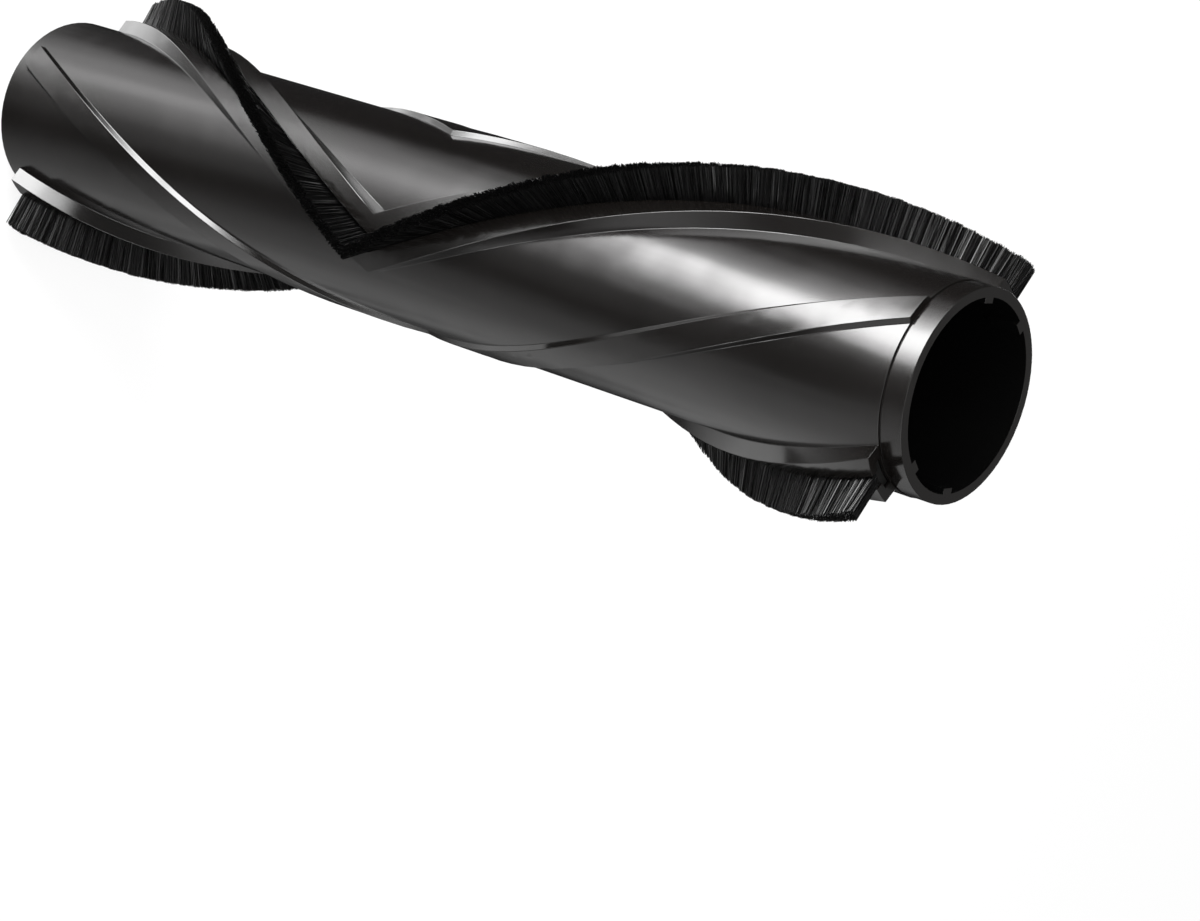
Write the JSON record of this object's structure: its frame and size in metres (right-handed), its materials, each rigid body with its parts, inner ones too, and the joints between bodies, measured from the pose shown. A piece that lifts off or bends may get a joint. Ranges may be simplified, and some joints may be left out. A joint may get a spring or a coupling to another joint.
{
  "type": "vacuum brush roll",
  "caption": "Hollow plastic brush roll for a vacuum cleaner head, with bristle strips in chevron rails, plain ribs between them, an open keyed drive end and a ball bearing in the far end.",
  "frame": {"origin": "centre of the far end's face, which the roll stands on", "axes": "+Z along the roll's axis towards the open drive end, +Y towards the bend of the first bristle rail"},
  "size_m": [0.057, 0.057, 0.229],
  "materials": {
    "roll_plastic": "satin",
    "strip_plastic": "matte",
    "nylon_pile": "satin",
    "carrier_plastic": "matte",
    "bearing_steel": "polished",
    "shield_steel": "satin",
    "cage_plastic": "matte",
    "spring_steel": "satin",
    "sleeve_steel": "satin",
    "felt": "matte"
  },
  "bodies": {
    "roll": {"roll_tube": "roll_plastic", "strip_backing_a_drive": "strip_plastic", "strip_backing_a_far": "strip_plastic", "strip_backing_b_drive": "strip_plastic", "strip_backing_b_far": "strip_plastic", "bristle_pile_a_drive": "nylon_pile", "bristle_pile_a_far": "nylon_pile", "bristle_pile_b_drive": "nylon_pile", "bristle_pile_b_far": "nylon_pile", "bearing_carrier": "carrier_plastic", "bearing_outer_race": "bearing_steel", "bearing_shield_outer": "shield_steel", "bearing_shield_inner": "shield_steel", "bearing_circlip": "spring_steel", "seal_washer": "shield_steel", "felt_seal": "felt"},
    "journal": {"journal_sleeve": "sleeve_steel", "bearing_inner_race": "bearing_steel", "sleeve_clip": "spring_steel"},
    "ball_cage": {"bearing_balls": "bearing_steel", "bearing_cage": "cage_plastic"}
  },
  "joints": [
    {"name": "journal_spin", "type": "hinge", "parent": "roll", "child": "journal", "pos_m": [0, 0, 0.008], "axis": [0, 0, 1], "continuous": true},
    {"name": "cage_spin", "type": "hinge", "parent": "roll", "child": "ball_cage", "pos_m": [0, 0, 0.008], "axis": [0, 0, 1], "continuous": true}
  ],
  "couplings": [
    {"joint": "cage_spin", "follows": "journal_spin", "ratio": 0.368}
  ]
}
